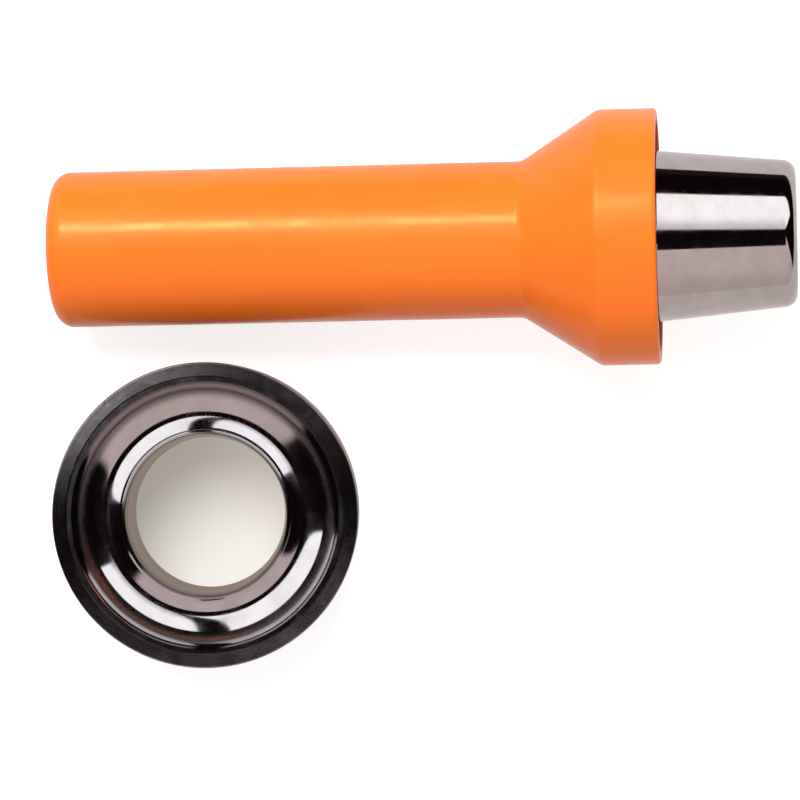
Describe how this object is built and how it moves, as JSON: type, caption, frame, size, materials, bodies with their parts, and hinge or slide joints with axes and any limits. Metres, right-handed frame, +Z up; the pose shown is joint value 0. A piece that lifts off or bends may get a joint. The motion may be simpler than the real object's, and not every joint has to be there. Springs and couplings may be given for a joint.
{
  "type": "grommet setter",
  "caption": "Setting punch with a moulded grip, wide collar and tapered steel nose, lying beside the round ring die whose curling groove rolls a grommet's barrel over.",
  "frame": {"origin": "centre of the die's bore at its underside, on the bench plane", "axes": "+Z up along the die's bore; +X along the lying punch from butt to nose; +Y from the die towards the punch"},
  "size_m": [0.1421, 0.1037, 0.0489],
  "materials": {
    "handle_plastic": "glossy orange moulded plastic",
    "head_chrome": "polished chrome plate over steel",
    "die_base_chrome": "fine turned steel, bright chrome plate",
    "die_ring_chrome": "polished chrome plate",
    "rod_steel": "bright drawn steel",
    "cap_steel": "turned and hardened steel",
    "spring_steel": "blued spring steel",
    "washer_zinc": "zinc plated",
    "pin_steel": "oiled spring steel",
    "shock_rubber": "matt black rubber"
  },
  "bodies": {
    "die": {"die_base": "die_base_chrome", "die_ring": "die_ring_chrome"},
    "setter": {"handle": "handle_plastic", "setting_head": "head_chrome", "drive_rod": "rod_steel", "strike_cap": "cap_steel", "lock_washer": "spring_steel", "flat_washer": "washer_zinc", "shock_ring": "shock_rubber", "cross_pin": "pin_steel"}
  },
  "joints": [
    {"name": "setter_lift", "type": "slide", "parent": "die", "child": "setter", "axis": [0, 0, 1], "range_m": [0, 0.06]}
  ]
}
